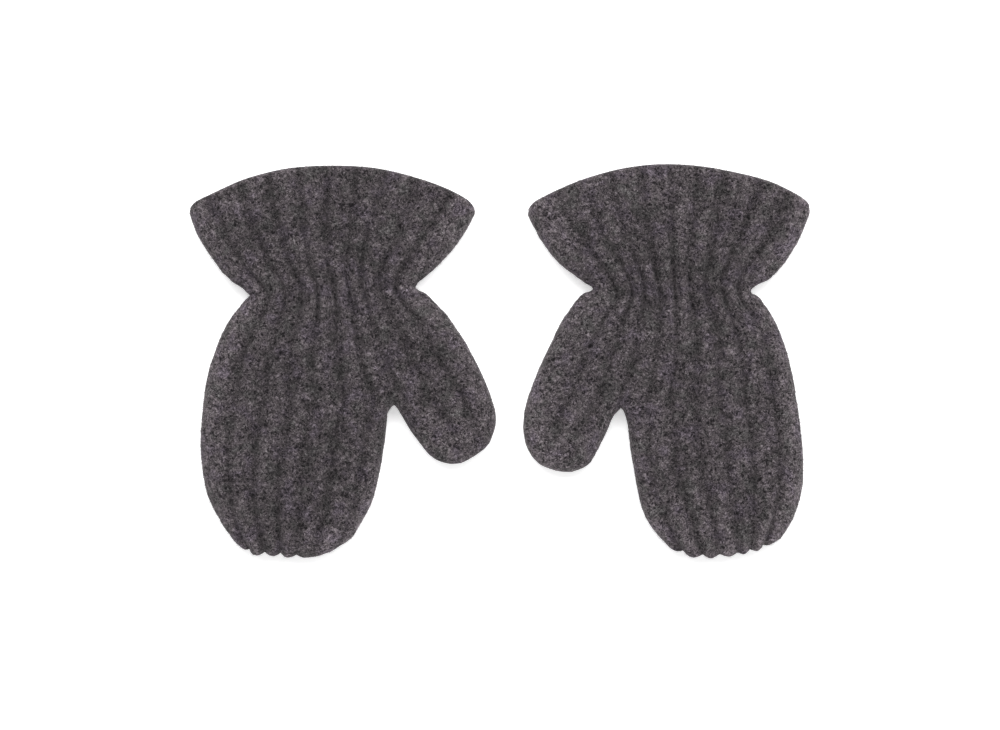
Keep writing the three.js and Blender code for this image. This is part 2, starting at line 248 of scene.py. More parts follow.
def coons(near, far, first, second, across, down):
    """Grid spanned by four edges. A grid point is the near-far blend plus the side-side blend
    less the blend of the four corners. near and far have one point for each column, first and
    second one for each row."""
    s = across[None, :, None]
    v = down[:, None, None]
    rows = (1 - v) * near[None] + v * far[None]
    columns = (1 - s) * first[:, None] + s * second[:, None]
    corners = ((1 - v) * ((1 - s) * near[0] + s * near[-1]) + v * ((1 - s) * far[0] + s * far[-1]))
    return rows + columns - corners


# ---- noise ----
def lattice(x, y, z, size, seed):
    """Smooth value noise in -1..1: random values at the corners of cubes of the given size,
    blended with smoothstep weights."""
    p = [np.asarray(c, float) / size + 1000.5 for c in (x, y, z)]
    i = [np.floor(c).astype(np.int64) for c in p]
    f = [ease(c - k) for c, k in zip(p, i)]
    total = 0.0
    for dx in (0, 1):
        for dy in (0, 1):
            for dz in (0, 1):
                h = ((i[0] + dx) * 73856093) ^ ((i[1] + dy) * 19349663) ^ ((i[2] + dz) * 83492791)
                h = (h + seed * 2654435761) & 0xFFFFFFFF
                h = ((h ^ (h >> 15)) * 2246822519) & 0xFFFFFFFF
                h = ((h ^ (h >> 13)) * 3266489917) & 0xFFFFFFFF
                value = ((h ^ (h >> 16)) & 0xFFFF) / 32767.5 - 1
                weight = ((f[0] if dx else 1 - f[0]) * (f[1] if dy else 1 - f[1])
                          * (f[2] if dz else 1 - f[2]))
                total = total + weight * value
    return total


# ---- the shape of one mitten ----
class Shape:
    """Heights of one mitten's cloths as functions of the place on the table."""

    def __init__(self, points, seed):
        self.points = points
        self.seed = seed
        self.edge = {name: spline(points[name]) for name in (*SEWN_EDGES, "mouth")}
        self.sewn = [resample(self.edge[name], np.linspace(0, 1, 40)) for name in SEWN_EDGES]
        self.wrist = np.array([points["outer_hand"][0], points["thumb_hand"][0]], float)
        self.to_mouth = upward_normal(*self.wrist)
        self.rib_tables = []

    def map_ribs(self, lengths_of_grid, units):
        """Adds a table of rib units over x and y for the columns of some grids that follow each
        other along the mitten. Each column's x is smoothed along y near the wrist, so that the ribs
        curve through it without a kink."""
        xy = join(*lengths_of_grid)
        ys = np.arange(xy[..., 1].min() - 1, xy[..., 1].max() + 1, TABLE_STEP)
        xs = np.arange(xy[..., 0].min() - 1, xy[..., 0].max() + 1, TABLE_STEP)
        columns = np.stack([np.interp(ys, c[::-1, 1], c[::-1, 0]) for c in xy.transpose(1, 0, 2)], 1)
        reach = int(3 * RIB_SMOOTHING / TABLE_STEP)
        kernel = np.exp(-((np.arange(-reach, reach + 1) * TABLE_STEP / RIB_SMOOTHING) ** 2) / 2)
        padded = np.pad(columns, ((reach, reach), (0, 0)), mode="edge")
        smooth = np.stack([np.convolve(c, kernel / kernel.sum(), "valid") for c in padded.T], 1)
        near_wrist = np.exp(-(((ys - self.wrist[:, 1].mean()) / RIB_SMOOTHING_REACH) ** 2))[:, None]
        columns = columns + (smooth - columns) * near_wrist
        way = 1 if columns[0, -1] > columns[0, 0] else -1
        table = np.stack([np.interp(xs, row[::way], units[::way]) for row in columns])
        self.rib_tables.append((xs[0], ys[0], table))

    def ribs_at(self, x, y):
        """Rib units at a place: the sum over the tables, each of which stops changing outside its
        own columns. The tables overlap in the value HAND_RIBS, which is counted once."""
        total = -HAND_RIBS * np.ones(x.shape)
        for x0, y0, table in self.rib_tables:
            fx = np.clip((x - x0) / TABLE_STEP, 0, table.shape[1] - 1.001)
            fy = np.clip((y - y0) / TABLE_STEP, 0, table.shape[0] - 1.001)
            i, j = fx.astype(int), fy.astype(int)
            fx, fy = fx - i, fy - j
            total = total + ((table[j, i] * (1 - fx) + table[j, i + 1] * fx) * (1 - fy)
                             + (table[j + 1, i] * (1 - fx) + table[j + 1, i + 1] * fx) * fy)
        return total

    def to_edge(self, x, y, lines):
        """Distance to the nearest of the lines and the unit direction away from it."""
        best = np.full(x.shape, 1e9)
        gx = np.zeros(x.shape)
        gy = np.zeros(x.shape)
        for line in lines:
            for a, b in zip(line[:-1], line[1:]):
                e = b - a
                t = np.clip(((x - a[0]) * e[0] + (y - a[1]) * e[1]) / (e @ e), 0, 1)
                dx = x - a[0] - t * e[0]
                dy = y - a[1] - t * e[1]
                d = dx * dx + dy * dy
                nearer = d < best
                best = np.where(nearer, d, best)
                gx = np.where(nearer, dx, gx)
                gy = np.where(nearer, dy, gy)
        best = np.sqrt(best)
        safe = np.maximum(best, 1e-6)
        return best, gx / safe, gy / safe

    def wrist_distance(self, x, y):
        """Signed distance from the wrist line, positive towards the cuff's mouth."""
        return (x - self.wrist[0, 0]) * self.to_mouth[0] + (y - self.wrist[0, 1]) * self.to_mouth[1]


def swell(t):
    """Quarter ellipse: 0 at the edge and 1 once the rounded border is over."""
    return np.sqrt(np.maximum(1 - (1 - np.clip(t, 0, 1)) ** 2, 0))


def swell_slope(t):
    """Slope of swell, very steep at the edge and 0 past the border."""
    t = np.clip(t, 0, 1)
    return (1 - t) / np.maximum(swell(t), 1e-3)


def rib_width(w):
    """Width of one rib in mm at a distance w from the wrist line: narrow at the gathers, wide at
    the cuff's mouth and the hand, narrower again where the fingertips are drawn in."""
    hand = 5.8 + 3.7 * ease(-w / 38) - 3.5 * ease((-w - 70) / 25)
    cuff = 5.8 + 4.5 * ease(w / 42)
    return np.where(w < 0, hand, cuff)


def rib_relief(shape, x, y, u, w):
    """Depth of the ribs' grooves below the ridges, 0 on a ridge and negative in a groove, and the
    painted shade of a groove or crease, 0 to 1. A groove is a narrow Gaussian dip in a wide shallow one.
    Grooves wander a little and are deeper in some places than in others."""
    seed = shape.seed
    flat = np.zeros(x.shape)
    wander = 0.05 * lattice(x, y, flat, 9, seed + 2) + 0.03 * lattice(x, y, flat, 4, seed + 5)
    gather = np.exp(-((w / np.where(w < 0, HAND_GATHER, CUFF_GATHER)) ** 2))
    flat_depth = np.where(w < 0, HAND_DEPTH, MOUTH_DEPTH)
    depth = flat_depth + (WRIST_DEPTH - flat_depth) * gather
    tip = ease((-w - TIP_START) / TIP_REACH)
    depth = depth + TIP_DEPTH * tip
    uneven = 1 + 0.3 * lattice(x, y, flat, 13, seed + 3) + 0.25 * lattice(x, y, flat, 5, seed + 4)
    depth = depth * uneven
    half_width = HAND_GROOVE + (WRIST_GROOVE - HAND_GROOVE) * gather
    narrow = np.zeros(x.shape)
    wide = np.zeros(x.shape)
    nearest = np.full(x.shape, 0.5)
    crotch_w = shape.wrist_distance(*np.array(shape.points["crotch_hand"][0]))
    tip_x, tip_y = shape.points["thumb_tip"][1]
    on_thumb = ease((np.hypot(x - tip_x, y - tip_y) - 4) / 14)
    for i, units in enumerate(shape.points["grooves"]):
        line = spline(np.column_stack([units, GROOVE_LEVELS]))[::-1]
        off = u + wander - np.interp(y, line[:, 1], line[:, 0])
        fade = on_thumb
        if i == CROTCH_GROOVE:
            fade = fade * (1 - ease((crotch_w - w + 6) / 8))
        narrow = np.maximum(narrow, fade * np.exp(-((off * rib_width(w) / half_width) ** 2)))
        wide = np.maximum(wide, fade * np.exp(-((off / WIDE_GROOVE) ** 2)))
        nearest = np.where(fade > 0.5, np.minimum(nearest, np.abs(off)), nearest)
    # at the fingertips the ribs end in round lobes with a sharp notch between them, except where
    # the tip is plain
    plain = PLAIN_TIP * ease((u - shape.points["plain_tip"]) / 0.6)
    lobes = (0.7 * narrow + 0.3 * wide) * (1 - tip) + (1 - np.sin(math.pi * nearest)) * tip * (1 - plain)
    # between the ribs the gathered wrist also has short creases, thin lines where a noise that is
    # stretched along the ribs passes through zero
    crease = lattice((u + wander) * CREASE_RATE, w / CREASE_LENGTH, flat, 1, seed + 6)
    crease = np.exp(-((crease / CREASE_WIDE) ** 2)) * np.exp(-((w / CREASE_REACH) ** 2))
    strength = 0.68 + 0.05 * gather + 0.2 * tip
    # dark is painted shade for the colour, in the grooves, stronger at the gathers and tips, and in the
    # wrist's creases
    dark = np.clip((0.75 * narrow + 0.25 * wide) * strength * (0.5 + 0.5 * uneven) + 0.35 * crease, 0, 1)
    return -depth * lobes - CREASE_DEPTH * crease, dark


def felt_relief(x, y, seed):
    """Unevenness of felted wool: soft lumps a few mm wide under a fine pebbled grain."""
    z = np.zeros(x.shape)
    lumps = (0.16 * lattice(x, y, z, 17, seed + 11) + 0.1 * lattice(x, y, z, 7, seed + 12)
             + 0.09 * lattice(x, y, z, 3.8, seed + 15))
    grain = 0.09 * lattice(x, y, z, 2.2, seed + 13) + 0.11 * lattice(x, y, z, 1.15, seed + 14)
    return lumps, grain


class Patch:
    """A grid of places on a mitten, with what the heights need to know at each of them."""

    def __init__(self, shape, xy, at_mouth=False):
        self.shape = shape
        self.x, self.y = xy[..., 0], xy[..., 1]
        self.d, gx, gy = shape.to_edge(self.x, self.y, shape.sewn)
        self.away = np.stack([gx, gy], -1)
        self.w = shape.wrist_distance(self.x, self.y)
        self.mouth = None
        if at_mouth:
            self.mouth = shape.to_edge(self.x, self.y, [shape.edge["mouth"]])[0]

    def on_outline(self, rows, columns):
        """These grid points lie on the sewn outline, so they take the direction away from it
        from their neighbours just inside."""
        last_column = self.x.shape[1] - 1
        r, c = np.broadcast_arrays(rows, columns)
        inner_r = r - 1 if np.ndim(rows) == 0 else r
        inner_c = np.clip(c, 1, last_column - 1)
        self.away[r, c] = self.away[inner_r, inner_c]
        self.d[r, c] = 0.0

    def cloth(self, is_palm):
        """Outer and inner faces of the cloth here, mm, heights counted from MID outwards, and how
        light the wool is: painted shade darkens a groove, a painted rim light lightens the border.
        The face is the pillow, moved along its own normal by the relief."""
        seed = self.shape.seed + (0 if is_palm else 500)
        crown = CROWN if is_palm else 0.0
        full = MID - WRIST_DIP * np.exp(-((self.w / WRIST_REACH) ** 2)) if is_palm else MID - BACK_LOW
        body = full - crown - LIP
        t, far_t = self.d / ROUND, self.d / CROWN_WIDTH
        height = LIP + body * swell(t) + crown * swell(far_t)
        slope = body * swell_slope(t) / ROUND + crown * np.minimum(swell_slope(far_t), 3) / CROWN_WIDTH
        slope = np.where(self.d <= 0, 1e6, slope)
        normal = unit(np.dstack([-slope[..., None] * self.away, np.ones(self.x.shape)]))
        u = self.shape.ribs_at(self.x, self.y)
        ribs, groove = rib_relief(self.shape, self.x, self.y, u, self.w)
        lumps, grain = felt_relief(self.x, self.y, seed)
        if self.mouth is not None:
            ribs = ribs * (0.35 + 0.65 * ease(self.mouth / 5))
        place = np.dstack([self.x, self.y, height])
        outer = place + normal * (ribs + lumps + grain)[..., None]
        thick = np.full(self.x.shape, CLOTH)
        if self.mouth is not None:
            hem = (HEM_THICK - CLOTH) * ease(self.d / 8)
            thick = CLOTH + hem * (1 - ease((self.mouth - HEM_DEPTH) / HEM_STEP))
        inner = place + normal * (0.6 * ribs + lumps + 0.5 * grain - thick)[..., None]
        middle = (outer + inner) / 2
        fold = np.zeros(self.x.shape)
        if self.mouth is not None:
            fold = 1 - swell(self.mouth / (HEM_THICK / 2))
        outer = outer + (middle - outer) * fold[..., None]
        inner = inner + (middle - inner) * fold[..., None]
        crotch = self.shape.edge["crotch_hand"][0]
        near_crotch = np.exp(-(np.hypot(self.x - crotch[0], self.y - crotch[1]) / CROTCH_REACH) ** 2)
        # painted light and shade in the colour: a rim light on the rounded border away from the crotch,
        # shade in the middle and round the crotch; lighter at the fingertips
        light = (PAINTED_RIM_LIGHT * (1 - ease((self.d - 3.5) / 5)) * (1 - near_crotch)
                 - PAINTED_MIDDLE_SHADE * ease((self.d - 7) / 12) - PAINTED_CROTCH_SHADE * near_crotch
                 + TIP_LIGHT * ease((-self.w - TIP_START) / 16))
        if self.mouth is not None:
            # painted rim light along the cuff's mouth
            light = light + PAINTED_MOUTH_LIGHT * (1 - ease(self.mouth / 8))
        # the tone carries the painted groove shade and the painted light and shade above
        tone = self.shape.points["lightness"] * (1 - PAINTED_GROOVE_SHADE * groove) * (1 + light)
        return {"outer": outer, "inner": inner, "middle": middle, "fold": fold, "tone": tone,
                "normal": normal, "relief": ribs + lumps + grain}


# ---- putting grids into a mesh ----
class Surface:
    """Collects grids of points and the faces between them, and welds them into one closed mesh."""

    def __init__(self):
        self.points = []
        self.tones = []
        self.faces = []
        self.count = 0

    def points_from(self, points, tone):
        """Adds points, each with its tone, and returns the index of the first."""
        first = self.count
        self.points.append(points)
        self.tones.append(tone)
        self.count += len(points)
        return first

    def grid(self, points, tone):
        """Adds a grid of points with quads between neighbours."""
        shape = points.shape[:2]
        first = self.points_from(points.reshape(-1, 3), np.broadcast_to(tone, shape).reshape(-1))
        index = first + np.arange(shape[0] * shape[1]).reshape(shape)
        quads = np.stack([index[:-1, :-1], index[1:, :-1], index[1:, 1:], index[:-1, 1:]], -1)
        self.faces.append(quads.reshape(-1, 4))

    def loop(self, points):
        """Adds a single many-sided face."""
        first = self.points_from(points, np.ones(len(points)))
        self.faces.append(first + np.arange(len(points))[None])

    def loose(self, points, tone, each, *shapes):
        """Adds many equal small closed bodies of each points. shapes are the faces of one of them."""
        first = self.points_from(points, tone) + np.arange(0, len(points), each)[:, None, None]
        self.faces += [(first + faces[None]).reshape(-1, faces.shape[1]) for faces in shapes]

    def mesh(self, name, material, sharp_degrees=62):
        """Welds points that coincide and turns all faces outwards."""
        points = np.vstack(self.points) * MM
        faces = [face for block in self.faces for face in block.tolist()]
        mesh = bpy.data.meshes.new(name)
        mesh.from_pydata(points.tolist(), [], faces)
        attribute = mesh.attributes.new("tone", "FLOAT", "POINT")
        attribute.data.foreach_set("value", np.concatenate(self.tones).astype(np.float32))
        b = bmesh.new()
        b.from_mesh(mesh)
        bmesh.ops.remove_doubles(b, verts=b.verts, dist=WELD * MM)
        bmesh.ops.recalc_face_normals(b, faces=b.faces)
        if b.calc_volume(signed=True) < 0:
            bmesh.ops.reverse_faces(b, faces=b.faces)
        b.to_mesh(mesh)
        b.free()
        mesh.shade_smooth()
        mesh.set_sharp_from_angle(angle=math.radians(sharp_degrees))
        mesh.materials.append(material)
        piece = bpy.data.objects.new(name, mesh)
        bpy.context.scene.collection.objects.link(piece)
        return piece


def upright(points, is_palm):
    """Heights counted outwards from MID become heights above the table."""
    points = np.array(points)
    points[..., 2] = MID + points[..., 2] if is_palm else MID - points[..., 2]
    return points


def lip_strip(patch, made, rows, columns):
    """The rolled lip along a run of outline points. From the outer face it turns a quarter circle
    inwards and down to the seam, and then goes back up to the inner face."""
    outline = np.stack([patch.x[rows, columns], patch.y[rows, columns]], -1)
    inwards = patch.away[rows, columns]
    relief = made["relief"][rows, columns]
    middle = made["middle"][rows, columns]
    fold = made["fold"][rows, columns][:, None]
    strip = [made["outer"][rows, columns]]
    for turn in np.linspace(0, math.pi / 2, LIP_STEPS + 1)[1:]:
        reach = LIP * (1 - math.cos(turn)) - relief * math.cos(turn)
        height = SEAM_HALF_GAP + (LIP - SEAM_HALF_GAP) * (1 - math.sin(turn))
        place = np.column_stack([outline + inwards * reach[:, None], np.full(len(outline), height)])
        strip.append(place + (middle - place) * fold)
    strip.append(made["inner"][rows, columns])
    return np.stack(strip, 1)


def cloth_piece(name, patches, is_palm, outline_runs, end_rows, draw, wool):
    """One length of cloth: outer and inner faces over its patches, lips along its runs of outline,
    and flat ends where the next length carries on."""
    surface = Surface()
    made = [patch.cloth(is_palm) for patch in patches]
    for m in made:
        surface.grid(upright(m["outer"], is_palm), m["tone"])
        surface.grid(upright(m["inner"], is_palm), m["tone"])
    for which, rows, columns in outline_runs:
        rows, columns = np.broadcast_arrays(rows, columns)
        strip = lip_strip(patches[which], made[which], rows, columns)
        surface.grid(upright(strip, is_palm), made[which]["tone"][rows, columns][:, None])
        for end, row, column in ((strip[0], rows[0], columns[0]), (strip[-1], rows[-1], columns[-1])):
            if (which, row) in end_rows:
                surface.loop(upright(end, is_palm))
    for which, row in end_rows:
        m = made[which]
        surface.grid(upright(np.stack([m["outer"][row], m["inner"][row]]), is_palm), m["tone"][row])
    ends = [end_line(patches[which], row) for which, row in end_rows]
    for m in made:
        nap(surface, m, is_palm, ends, draw)
    return surface.mesh(name, wool)


def end_line(patch, row):
    """A point on a length's straight end, and the direction from there into the cloth."""
    a, b = (np.array([patch.x[row, column], patch.y[row, column]]) for column in (0, -1))
    normal = upward_normal(a, b)
    inside = np.array([patch.x.mean(), patch.y.mean()])
    return a, normal * np.sign((inside - a) @ normal)


# ---- nap ----
NAP_PER_MM2 = {True: 1.5, False: 0.9}      # standing fibres on the palm and on the back
NAP_LENGTH = (0.55, 1.5)
NAP_LEAN = (10, 50)    # degrees off the cloth
NAP_BEND = 0.35
NAP_RADIUS = 0.034
NAP_TONE = (0.9, 2.3)
NAP_ROOT = 0.06        # the root is sunk this far into the cloth
NAP_CLEAR = 0.25       # fibres keep this far from the seam plane and from the table
NAP_END_CLEAR = 0.1    # and this far from a length's straight end
# a fibre's points are a ring at the root, a ring at the bend and the tip
NAP_SIDES = np.array([[0, 1, 4, 3], [1, 2, 5, 4], [2, 0, 3, 5]])
NAP_CAPS = np.array([[2, 1, 0], [3, 4, 6], [4, 5, 6], [5, 3, 6]])
NAP_POINTS = 7


def nap(surface, made, is_palm, ends, draw):
    """Short curved fibres that stand on the outer face. A fibre is a thin three-sided spike with one
    bend. It starts at a random place in a grid cell, which is picked in proportion to its area, and
    leans in a random direction. ends are (point, direction) pairs of the lines that no fibre may
    cross."""
    p = made["outer"]
    a, b, c, d = p[:-1, :-1], p[1:, :-1], p[1:, 1:], p[:-1, 1:]
    cross = np.cross(c - a, d - b)
    area = np.linalg.norm(cross, axis=-1).reshape(-1) / 2
    count = int(area.sum() * NAP_PER_MM2[is_palm] * (1))
    cell = np.searchsorted(np.cumsum(area) / area.sum(), draw.random(count)).clip(0, len(area) - 1)
    s, t = draw.random((2, count, 1))
    corner = [k.reshape(-1, 3)[cell] for k in (a, b, c, d)]
    root = (corner[0] * (1 - s) + corner[1] * s) * (1 - t) + (corner[3] * (1 - s) + corner[2] * s) * t
    normal = unit(cross.reshape(-1, 3)[cell])
    normal *= np.sign((normal * made["normal"][:-1, :-1].reshape(-1, 3)[cell]).sum(1, keepdims=True))
    heading = draw.normal(size=(count, 3))
    heading = unit(heading - (heading * normal).sum(1, keepdims=True) * normal)
    lift = np.radians(draw.uniform(*NAP_LEAN, (count, 1)))
    length = draw.uniform(*NAP_LENGTH, (count, 1))
    bend = np.cross(normal, heading) * draw.uniform(-NAP_BEND, NAP_BEND, (count, 1)) * length
    way = heading * np.cos(lift) + normal * np.sin(lift)
    middle = root + way * length * 0.5 + bend
    tip = root + way * length + 0.12 * length * normal * draw.uniform(-1, 0.5, (count, 1))
    keep = np.minimum(np.minimum(root[:, 2], middle[:, 2]), tip[:, 2]) > NAP_CLEAR
    keep &= is_palm | (tip[:, 2] < MID - NAP_CLEAR)
    for point, direction in ends:
        for place in (middle, tip):
            keep &= (place[:, :2] - point) @ direction > NAP_END_CLEAR
    root, middle, tip, way, normal = (k[keep] for k in (root, middle, tip, way, normal))
    side = unit(np.cross(way, normal))
    up = np.cross(side, way)
    root = root - NAP_ROOT * way
    ring = [side, -0.5 * side + 0.87 * up, -0.5 * side - 0.87 * up]
    points = np.stack([root + NAP_RADIUS * r for r in ring]
                      + [middle + 0.8 * NAP_RADIUS * r for r in ring] + [tip], 1)
    tone = np.repeat(draw.uniform(*NAP_TONE, len(tip)), NAP_POINTS)
    surface.loose(upright(points.reshape(-1, 3), is_palm), tone, NAP_POINTS, NAP_SIDES, NAP_CAPS)


# ---- the three lengths of a mitten's cloth ----
WRIST_END = 2.4        # the cuff's length ends this far below the wrist notches
THUMB_ROOT_Y = -5.5    # the thumb's outer side is level here with the crotch across the thumb
HAND_WIDTH = 68        # rough sizes in mm, which set the number of grid steps
THUMB_WIDTH = 27
CUFF_LENGTH = 52
FINGER_LENGTH = 50
THUMB_SHARE = 0.6      # share of the thumb's rows that lies above the crotch
SHARED_LEAN = np.array([0.35, 0.5])    # how the line from the wrist to the crotch bends


def rows_for(length):
    return max(6, int(round(length / SPACING)))


def lay_out(shape):
    """Patches for the cuff, the hand with its thumb, and the fingers. Columns follow the ribs and
    are shared by all three, so that the lengths meet point to point."""
    edge = shape.edge
    outer_hand, thumb_hand, crotch_hand = edge["outer_hand"], edge["thumb_hand"], edge["crotch_hand"]
    outer_end, crotch_end = (distance_where(line, shape.points["hand_end"])
                             for line in (outer_hand, crotch_hand))
    hand_s = spread(rows_for(HAND_WIDTH), True, True)
    thumb_s = spread(rows_for(THUMB_WIDTH), True, True, 0.5)
    thumb_u = HAND_RIBS + THUMB_RIBS * thumb_s
    cuff_s = np.concatenate([HAND_RIBS * hand_s, thumb_u[1:]]) / (HAND_RIBS + THUMB_RIBS)

    cuff_outer = join(edge["outer_cuff"], cut(outer_hand, 0, WRIST_END))
    cuff_thumb = join(edge["thumb_cuff"], cut(thumb_hand, 0, WRIST_END))
    wrist_row = cuff_outer[-1] + (cuff_thumb[-1] - cuff_outer[-1]) * cuff_s[:, None]
    down = spread(rows_for(CUFF_LENGTH), True, False, 0.5)
    cuff = coons(resample(edge["mouth"], cuff_s), wrist_row, resample(cuff_outer, down),
                 resample(cuff_thumb, down), cuff_s, down)

    # the hand and the thumb share a line from the fork in the wrist row to the crotch
    split = len(hand_s) - 1
    fork = wrist_row[split]
    crotch = crotch_hand[0]
    shared = spline([fork, fork + (crotch - fork) * SHARED_LEAN, crotch])
    inner_side = cut(crotch_hand, 0, crotch_end)
    outer_side = cut(outer_hand, WRIST_END, outer_end)
    fork_rows = rows_for(lengths(shared)[-1])
    fork_s = np.linspace(0, 1, fork_rows + 1)
    below_s = np.linspace(0, 1, rows_for(lengths(inner_side)[-1]) + 1)[1:]
    share = lengths(shared)[-1] / (lengths(shared)[-1] + lengths(inner_side)[-1])
    down = np.concatenate([share * fork_s, share + (1 - share) * below_s])
    shared = resample(shared, fork_s)
    hand_row = outer_side[-1] + (inner_side[-1] - outer_side[-1]) * hand_s[:, None]
    hand = coons(wrist_row[: split + 1], hand_row, resample(outer_side, down),
                 join(shared, np.vstack([crotch, resample(inner_side, below_s)])), hand_s, down)

    root = distance_where(edge["outer_thumb"], THUMB_ROOT_Y)
    upper = join(cut(thumb_hand, WRIST_END), cut(edge["outer_thumb"], 0, root))
    lower = cut(edge["outer_thumb"], root)
    tip_s = spread(rows_for(lengths(edge["inner_thumb"])[-1]), False, True, 0.7)
    down = np.concatenate([THUMB_SHARE * fork_s, THUMB_SHARE + (1 - THUMB_SHARE) * tip_s[1:]])
    thumb = coons(wrist_row[split:], resample(edge["thumb_tip"], thumb_s),
                  join(shared, resample(edge["inner_thumb"], tip_s)),
                  join(resample(upper, fork_s), resample(lower, tip_s)), thumb_s, down)

    down = spread(rows_for(FINGER_LENGTH), False, True, 0.6)
    warped = hand_s - shape.points["tip_warp"] * np.sin(math.pi * hand_s)
    fingers = coons(hand_row, resample(edge["fingertip"], warped),
                    resample(join(cut(outer_hand, outer_end), edge["outer_finger"]), down),
                    resample(join(cut(crotch_hand, crotch_end), edge["inner_finger"]), down),
                    hand_s, down)
    shape.map_ribs([cuff[:, : split + 1], hand, fingers], HAND_RIBS * hand_s)
    shape.map_ribs([cuff[:, split:], thumb], thumb_u)

    patches = {"cuff": [Patch(shape, cuff, at_mouth=True)],
               "hand": [Patch(shape, hand), Patch(shape, thumb)],
               "fingers": [Patch(shape, fingers)]}
    # runs of grid points on the sewn outline, as (patch, rows, columns) of each length
    cuff_rows, hand_rows, thumb_rows, finger_rows = (np.arange(len(xy))
                                                     for xy in (cuff, hand, thumb, fingers))
    last_hand, last_thumb = len(hand_s) - 1, len(thumb_s) - 1
    runs = {
        "cuff": [(0, cuff_rows, 0), (0, cuff_rows, len(cuff_s) - 1)],
        "hand": [(0, hand_rows, 0), (0, hand_rows[fork_rows:], last_hand),
                 (1, thumb_rows, last_thumb), (1, thumb_rows[fork_rows:], 0),
                 (1, thumb_rows[-1], np.arange(last_thumb + 1))],
        "fingers": [(0, finger_rows, 0), (0, finger_rows, last_hand),
                    (0, finger_rows[-1], np.arange(last_hand + 1))],
    }
    for length, group in patches.items():
        for which, r, c in runs[length]:
            group[which].on_outline(r, c)
    into_hand = unit(shared[-2] - crotch)
    patches["hand"][0].away[fork_rows, -1] = into_hand
    patches["hand"][1].away[fork_rows, 0] = into_hand
    ends = {"cuff": [(0, cuff_rows[-1])], "hand": [(0, 0), (1, 0), (0, hand_rows[-1])],
            "fingers": [(0, 0)]}
    return patches, runs, ends


# ---- what is sewn to the inside ----
THREAD = 0.62          # thickness of the hem thread, two plies twisted together
THREAD_TWIST = 2.2     # length of one turn of the plies
STITCH = 2.1           # distance between hem stitches
STITCH_LOW = 7.7       # the zigzag runs between these distances from the mouth, over the raw edge
STITCH_HIGH = 11.2
STITCH_MARGIN = 9.0    # and stops this far from the sewn sides
SEWN_SHARP = 70        # degrees between faces that make an edge sharp on thread and elastic
ELASTIC_NEAR = 3.0     # the elastic lies between these distances below the wrist line
ELASTIC_FAR = 8.8
ELASTIC_THICK = 0.8
ELASTIC_CLEAR = 0.12
ELASTIC_SHARE = (0.14, 0.86)
RIDGE_INSET = 3.5      # the overcast seam allowance lies this far inside the outline
RIDGE_WIDE = 0.95
RIDGE_HIGH = 0.75
OVERCAST = 1.7         # length of one overcast stitch
OVERCAST_BULGE = 0.2
THREAD_STEP = {True: 0.3, False: 0.2}    # length of a piece of tube, quick and full
RIDGE_STEP = {True: 0.3, False: 0.17}
LEG_CLIMB = 0.7        # a stitch climbs this share of the step between the hem and the single cloth
WRIST_WIDTH = 60
WRIST_FLARE = 0.35     # the mitten widens by this on either side per mm below the wrist
CORD_WIDE = 0.75       # cords of the elastic
CORD_HIGH = 0.05


def sides_of(path):
    """Unit vectors across a path: in the plane of the table, and square to that."""
    step = unit(np.gradient(path, axis=0))
    side = unit(np.cross(step, [0, 0, 1.0]))
    return side, np.cross(side, step)


def tube(surface, path, wide, high, sides, bulge=0.0, pitch=1.0):
    """Closed tube along a path. Each ring is an ellipse, wide in the plane of the table and high
    across it. The radius is larger by bulge along a helix of the given pitch, as under overcast
    stitches: it varies with the absolute sine of (pi * distance / pitch + half the ring angle)."""
    side, up = sides_of(path)
    far = lengths(path)
    angle = np.linspace(0, 2 * math.pi, sides + 1)
    angle[-1] = 0
    swollen = 1 + bulge * (np.abs(np.sin(math.pi * far[:, None] / pitch + angle / 2)) - 0.5)
    taper = np.sqrt(np.clip(np.minimum(far, far[-1] - far) / high, 0.15, 1))[:, None]
    ring = (path[:, None] + (swollen * taper)[..., None]
            * (wide * np.cos(angle)[:, None] * side[:, None] + high * np.sin(angle)[:, None] * up[:, None]))
    surface.grid(ring, 1.0)
    surface.loop(ring[0, :-1])
    surface.loop(ring[-1, :-1])


def plied(surface, path, thickness, twist):
    """Two round plies twisted about a path, each about half as thick as the thread."""
    far = lengths(path)[-1]
    at = np.linspace(0, far, int(far / THREAD_STEP[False]))
    path = resample(path, at / far)
    side, up = sides_of(path)
    for turn in (0, math.pi):
        a = (2 * math.pi * at / twist + turn)[:, None]
        ply = path + thickness / 4 * (np.cos(a) * side + np.sin(a) * up)
        tube(surface, ply, thickness / 3.6, thickness / 3.6, 6)


def at_mouth_distance(cuff, made, column, distance):
    """Place on the cuff's inner face in a column of the grid, a distance in from the mouth."""
    row = np.interp(distance, cuff.mouth[:, column], np.arange(cuff.x.shape[0]))
    i = int(row)
    return made["inner"][i, column] * (1 - row + i) + made["inner"][i + 1, column] * (row - i)


def hem_thread(name, cuff, is_palm, yarn):
    """Catch stitch over the raw edge of the hem: a zigzag from the hem up to the single cloth."""
    made = cuff.cloth(is_palm)
    middle_row = cuff.x.shape[0] // 4
    inside = np.nonzero(cuff.d[middle_row] > STITCH_MARGIN)[0]
    across = np.abs(cuff.x[middle_row, inside] - cuff.x[middle_row, inside[0]])
    columns = inside[np.searchsorted(across, np.linspace(0, across[-1], int(across[-1] / STITCH)))]
    corners = [at_mouth_distance(cuff, made, c, STITCH_LOW if i % 2 else STITCH_HIGH)
               for i, c in enumerate(columns)]
    path = []
    for a, b in zip(corners[:-1], corners[1:]):
        leg = a + (b - a) * np.linspace(0, 1, 9)[:-1, None]
        low = min(a[2], b[2])
        leg[:, 2] = low + LEG_CLIMB * (leg[:, 2] - low)
        path.append(leg)
    path = np.vstack(path + [corners[-1][None]])
    path[:, 2] -= THREAD / 2
    surface = Surface()
    plied(surface, upright(path, is_palm), THREAD, THREAD_TWIST)
    return surface.mesh(name, yarn, SEWN_SHARP)


